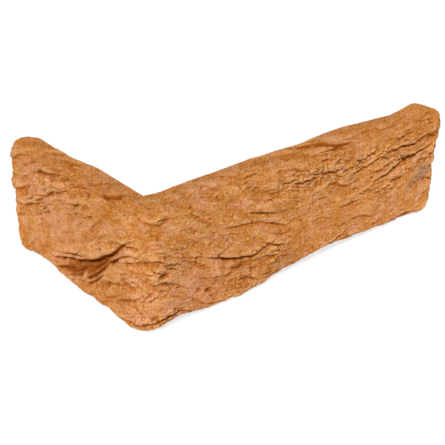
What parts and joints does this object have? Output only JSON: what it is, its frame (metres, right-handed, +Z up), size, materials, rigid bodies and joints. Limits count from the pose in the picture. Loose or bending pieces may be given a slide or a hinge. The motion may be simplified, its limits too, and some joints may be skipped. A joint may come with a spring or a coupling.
{
  "type": "brick slip corner tile",
  "caption": "L-shaped corner brick slip with a worn, riven stone-like face, one long and one short leg, and flat backs that bond to the corner of a wall.",
  "frame": {"origin": "foot of the line where the two flat backs meet", "axes": "+X along the back of the long leg, +Y along the back of the short leg, +Z up"},
  "size_m": [0.2169, 0.1194, 0.065],
  "materials": {
    "fired_clay": "matt, sandy and riven, orange-tan with ochre, pinkish and greyish patches and darker creases"
  },
  "bodies": {
    "root": {"corner_slip": "fired_clay"}
  },
  "joints": []
}
